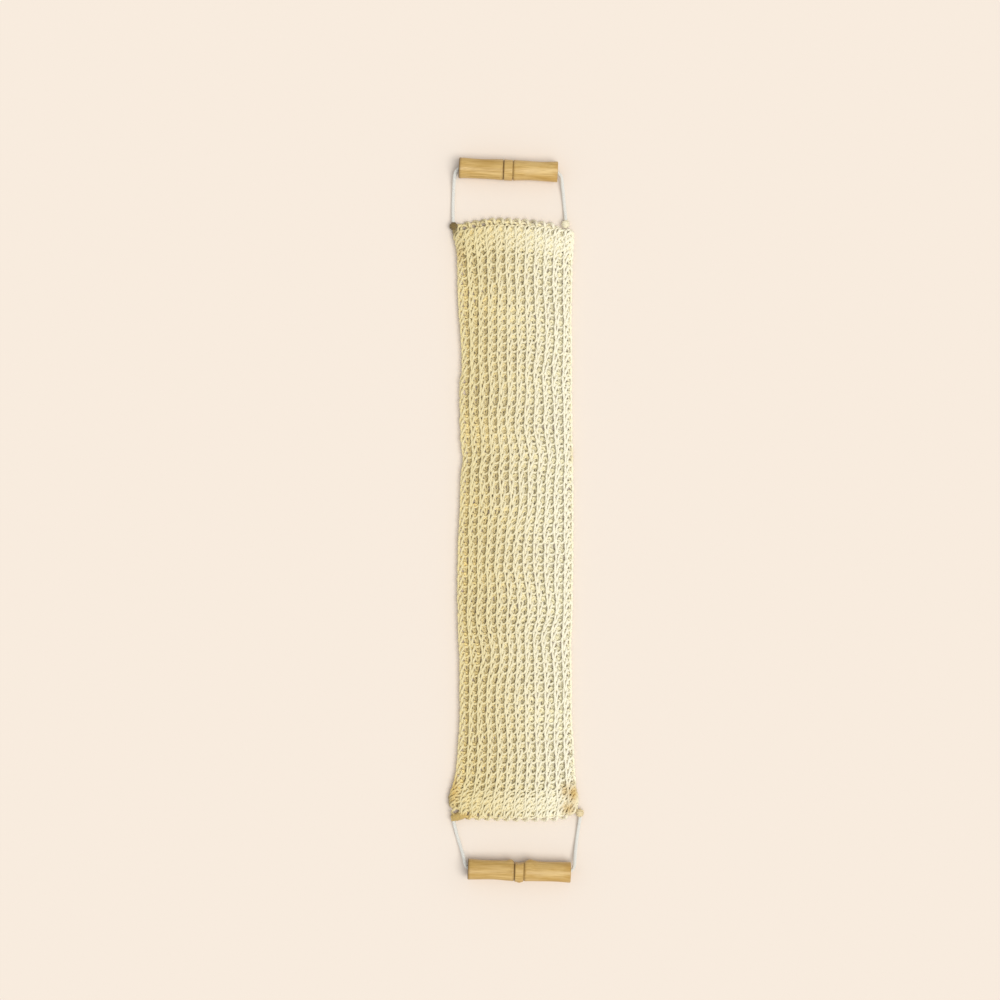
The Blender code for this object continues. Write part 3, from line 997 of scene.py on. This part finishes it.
def wood_material():
    """Pale bamboo: fine fibre lines along the stick, golden patches, burnt grooves, and darker end
    grain, with painted shade on its left end.
    """
    made, nodes, links, shader = new_material("bamboo")
    place = read_attribute(nodes, "wood_place", "Vector")
    fibre = stretched_noise(nodes, links, place, (0.035, 1.0, 1.0), 1500.0, 4.0, 0.65)
    band = stretched_noise(nodes, links, place, (0.10, 1.0, 1.0), 330.0, 2.0)
    patch = stretched_noise(nodes, links, place, (0.6, 1.0, 1.0), 70.0, 2.0)
    colour = mix_colour(nodes, links, ramp(nodes, links, fibre, 0.38, 0.66), FIBRE_DARK, FIBRE_LIGHT)
    toned = mix_colour(nodes, links, ramp(nodes, links, band, 0.45, 0.8), colour, BAND_LIGHT)
    golden = mix_colour(nodes, links, ramp(nodes, links, patch, 0.50, 0.95), toned, PATCH_GOLDEN)
    deeper = mix_colour(nodes, links, read_attribute(nodes, "deeper"), golden, DEEP_GOLDEN)
    # Darker end grain, with painted shade on the left end.
    ended = mix_colour(nodes, links, read_attribute(nodes, "end_grain_and_shade"), deeper, END_BROWN)
    scorched = mix_colour(nodes, links, read_attribute(nodes, "burnt"), ended, SCORCHED)
    links.new(scorched, shader.inputs["Base Color"])
    shader.inputs["Roughness"].default_value = 0.48
    shader.inputs["Coat Weight"].default_value = 0.12
    shader.inputs["Coat Roughness"].default_value = 0.3
    links.new(add_bump(nodes, links, fibre, 0.25, 0.2 * MM), shader.inputs["Normal"])
    return made


# ---------------------------------------------------------------- lashings and closing seams

WRAP_RADIUS = 0.80 * MM
WRAP_SPACING = 1.30 * MM
WRAP_STEPS = 48  # points to a turn
KNOT_REACH = 2.6 * MM  # the ball's radius to the middle of its yarn
BALL_LENGTH = 5.1 * MM
COIL_LENGTH = 10.5 * MM
COIL_RADIUS = 2.45 * MM
# Each lashing's darkening, gold, turn in radians, length, and its shift from its CAD solid.
LASHINGS = {
    "upper_left_lashing": (0.93, 0.0, 0.15, BALL_LENGTH, (0.2 * MM, -0.2 * MM)),
    "upper_right_lashing": (0.05, 0.0, -0.08, BALL_LENGTH, (0.0, 0.0)),
    "lower_left_lashing": (0.50, 0.5, -1.32, COIL_LENGTH, (3.8 * MM, 0.5 * MM)),
    "lower_right_lashing": (0.05, 0.40, -0.35, BALL_LENGTH, (-0.3 * MM, 0.2 * MM)),
}

SEAM_TURNS = 12
SEAM_STEPS = 44  # points to a stitch
SEAM_RADIUS = 0.95 * MM
SEAM_CLEAR = 1.2 * MM  # left free between the seam and the knots
SEAM_INSET = 1.1 * MM
SEAM_REACH = 1.75 * MM
SEAM_SLANT = 0.9 * MM
SEAM_HEIGHT = 3.1 * MM
SEAM_TUCK = 3.0 * MM  # how far its two ends are tucked into the tube
SEAM_TUCK_TURNS = 0.45


def lashing(name, finish):
    """Yarn bound round a corner's knot: a ball that its cord swings round, or a longer coil."""
    darkening, gold, turn, length, shift = LASHINGS[name]
    centre = np.mean(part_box(name), axis=0) + np.array((*shift, 0.0))
    turns = round(length / WRAP_SPACING) + 0.5
    t = np.linspace(0.0, 1.0, int(WRAP_STEPS * turns))
    angle = math.tau * turns * t
    run = (t - 0.5) * length
    if length > 2 * KNOT_REACH:
        barrel = COIL_RADIUS * np.sin(math.pi * (0.14 + 0.72 * t)) ** 0.45
    else:
        barrel = np.sqrt(KNOT_REACH**2 - run**2)
    wobble = 0.08 * MM * np.sin(angle * 0.37 + turn * 5)
    cos, sin = math.cos(turn), math.sin(turn)
    x = centre[0] + barrel * np.cos(angle) * cos - run * sin + wobble
    y = centre[1] + barrel * np.cos(angle) * sin + run * cos
    z = centre[2] + barrel * np.sin(angle)
    spokes = np.stack([np.cos(angle) * cos, np.cos(angle) * sin, np.sin(angle)], axis=-1)
    obj, co = tube_mesh(name + "_wrap", np.stack([x, y, z], axis=-1), spokes, WRAP_RADIUS)
    # Knots on the left take the full painted shade of the strap's left side, those on the right a little
    # of it.
    left = 1.0 if centre[0] < 0 else 0.3
    for tone, value in (("painted_glow", 0.0), ("darkening", darkening), ("gold", gold), ("left", left)):
        store(obj, tone, np.full(len(co), value))
    obj.data.materials.append(finish)
    return obj


def closing_seam(name, finish, end_line, side):
    """Yarn oversewn along one end of the strap, from one corner's knot to the other."""
    end = name.split("_")[0]
    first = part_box(end + "_left_lashing")[1][0] + SEAM_CLEAR
    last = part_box(end + "_right_lashing")[0][0] - SEAM_CLEAR
    t = np.linspace(0.0, 1.0, SEAM_TURNS * SEAM_STEPS)
    angle = math.tau * SEAM_TURNS * t + 1.0
    from_end = np.minimum(t, 1.0 - t) * SEAM_TURNS
    tuck = np.clip(1.0 - from_end / SEAM_TUCK_TURNS, 0.0, 1.0)
    out = SEAM_REACH * np.cos(angle) * (1 - tuck) - SEAM_TUCK * tuck - SEAM_INSET
    x = first + (last - first) * t + SEAM_SLANT * np.sin(angle + 0.6)
    y = end_line(x) + side * out
    z = LAYER_LOW + LAYER_HALF_GAP + SEAM_HEIGHT * np.sin(angle) * (1 - tuck)
    z = np.maximum(z, SEAM_RADIUS * (1 + PLY_RELIEF))
    spokes = np.stack([np.zeros_like(t), side * np.cos(angle), np.sin(angle)], axis=-1)
    obj, co = tube_mesh(name + "_yarn", np.stack([x, y, z], axis=-1), spokes, SEAM_RADIUS)
    store(obj, "painted_glow", np.zeros(len(co)))
    painted_shade_and_gold(obj, co)
    obj.data.materials.append(finish)
    return obj


# ---------------------------------------------------------------- stage


FLOOR_COLOUR = (0.81, 0.725, 0.645, 1.0)
FLOOR_SIZE = 12.0
SKY_STRENGTH = 0.58
SUN_TOWARDS = (0.32, -0.22, 1.0)
SUN_STRENGTH = 1.96
SUN_WIDTH = math.radians(40.0)
SUN_COLOUR = (1.0, 0.985, 0.95)
CAMERA_LENS = 100.0
CAMERA_PLACE = (-0.0128, 0.0155, 2.15)


def build_floor():
    bpy.ops.mesh.primitive_plane_add(size=FLOOR_SIZE, location=(0.0, 0.0, 0.0))
    floor = bpy.context.object
    floor.name = "floor"
    made, _, _, shader = new_material("floor")
    shader.inputs["Base Color"].default_value = FLOOR_COLOUR
    shader.inputs["Roughness"].default_value = 0.95
    shader.inputs["Specular IOR Level"].default_value = 0.1
    floor.data.materials.append(made)


def build_lights():
    world = bpy.data.worlds.new("studio")
    bpy.context.scene.world = world
    world.use_nodes = True
    background = world.node_tree.nodes["Background"]
    background.inputs["Color"].default_value = (1.0, 1.0, 1.0, 1.0)
    background.inputs["Strength"].default_value = SKY_STRENGTH
    lamp = bpy.data.lights.new("key", "SUN")
    lamp.energy = SUN_STRENGTH
    lamp.angle = SUN_WIDTH
    lamp.color = SUN_COLOUR
    sun = linked("key", lamp)
    sun.rotation_euler = Vector(SUN_TOWARDS).to_track_quat("Z", "Y").to_euler()
    bpy.context.scene.view_settings.view_transform = "Standard"


def build_camera():
    """Straight down on the object, as the photograph is."""
    lens = bpy.data.cameras.new("camera")
    lens.lens = CAMERA_LENS
    lens.clip_end = 20.0
    camera = linked("camera", lens)
    camera.location = CAMERA_PLACE
    bpy.context.scene.camera = camera


# ---------------------------------------------------------------- the object, piece by piece

# Each band of the knit: the two sections it joins, their hinge, and which way it lies from it.
BENDS = {
    "knit_lower_end": ("strap_lower", "strap_lower_end", "lower_end_bend", -1),
    "knit_lower": ("strap_middle", "strap_lower", "lower_bend", -1),
    "knit_upper": ("strap_middle", "strap_upper", "upper_bend", 1),
    "knit_upper_end": ("strap_upper", "strap_upper_end", "upper_end_bend", 1),
}


def place_cords():
    finish = cord_material()
    for name, route in (("upper_cord", UPPER_ROUTE), ("lower_cord", LOWER_ROUTE)):
        obj, points, length = braided_cord(name + "_braid", route, finish)
        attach(obj, name.replace("cord", "loop"))
        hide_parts(name)


def place_knit(finish):
    knit = build_knit(finish)
    width = 2 * (right_edge(0.0) - left_edge(0.0)) * FLAT_SHARE
    for name, (near, far, joint, side) in BENDS.items():
        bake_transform(knit[name])
        if name.endswith("_end"):
            hem = build_hem(name, side, finish)
            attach(hem, far)
        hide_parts(far)
    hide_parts("strap_upper", "strap_middle")


def place_ends(finish):
    """The closing seams and the lashings, which ride on the strap's end sections."""
    for end, end_line, side in (("upper", top_end, 1), ("lower", bottom_end, -1)):
        name = end + "_closing_seam"
        seam = closing_seam(name, finish, end_line, side)
        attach(seam, "strap_" + end + "_end")
        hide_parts(name)
    for name in LASHINGS:
        wrap = lashing(name, finish)
        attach(wrap, "strap_" + name.split("_")[0] + "_end")
        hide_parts(name)


def place_handles():
    finish = wood_material()
    for name, band in BAND_RADIUS.items():
        stick = build_handle(name, finish, band, nick=name == "lower_handle")
        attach(stick, name)
        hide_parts(name)


build_floor()
build_lights()
build_camera()
place_cords()
yarn_finish = yarn_material("plant_yarn")
place_knit(yarn_finish)
place_ends(yarn_finish)
place_handles()
